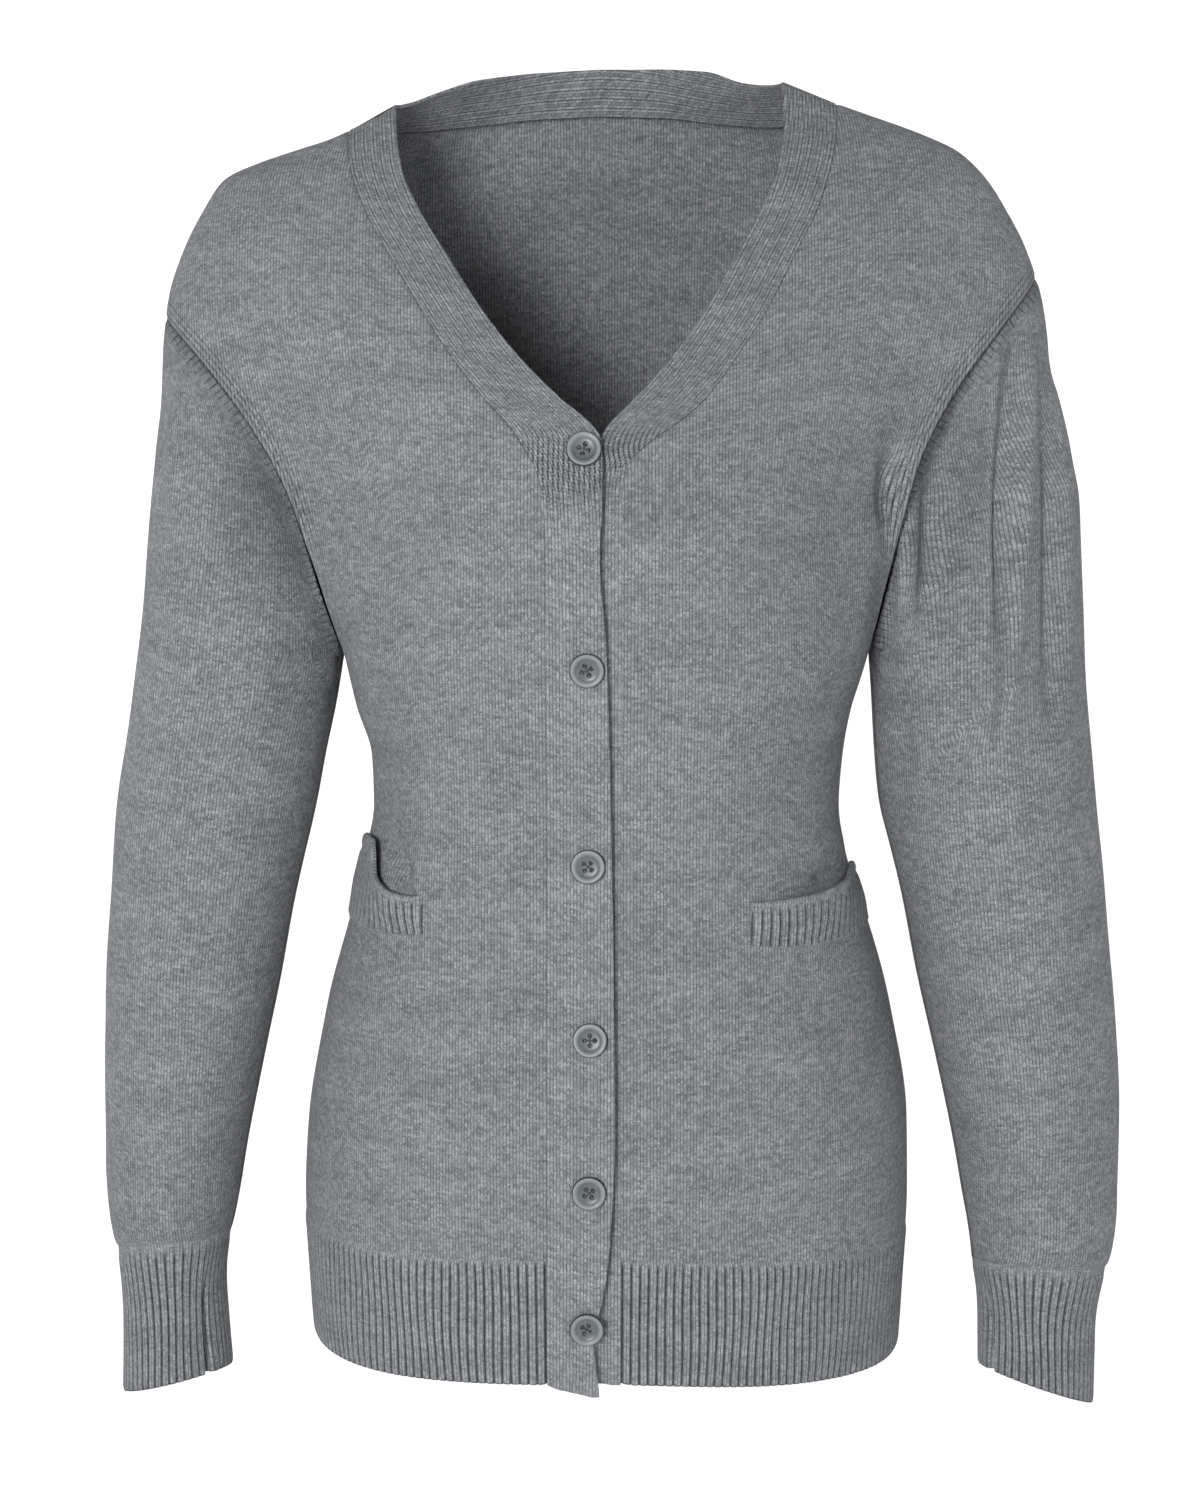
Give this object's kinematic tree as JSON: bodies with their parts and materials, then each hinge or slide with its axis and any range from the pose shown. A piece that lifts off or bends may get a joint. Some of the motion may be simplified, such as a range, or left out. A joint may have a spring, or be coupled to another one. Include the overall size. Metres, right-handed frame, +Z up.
{
  "type": "button cardigan",
  "caption": "Long-sleeved V-neck button cardigan in fine grey knit, worn hollow form, with ribbed hem, cuffs and pocket welts.",
  "frame": {"origin": "midway between the high points of the two shoulders, where the wearer's shoulders hold it up", "axes": "+Z up, the garment's length; -Y out of the buttoned front; +X to the wearer's left"},
  "size_m": [0.5558, 0.2404, 0.7343],
  "materials": {
    "knit": "matt fine knit, grey heather",
    "band": "matt fine knit, doubled",
    "rib": "matt ribbed knit",
    "button": "satin moulded plastic"
  },
  "bodies": {
    "root": {"back": "knit", "button_1": "button", "button_2": "button", "button_3": "button", "button_4": "button", "button_5": "button", "button_6": "button", "cuff_left": "rib", "cuff_right": "rib", "front_band_left": "band", "front_band_right": "band", "front_left": "knit", "front_right": "knit", "hem_rib_back": "rib", "hem_rib_left": "rib", "hem_rib_right": "rib", "neck_band_back": "band", "pocket_bag_left": "knit", "pocket_bag_right": "knit", "pocket_welt_left": "rib", "pocket_welt_right": "rib", "sleeve_left": "knit", "sleeve_right": "knit"}
  },
  "joints": []
}
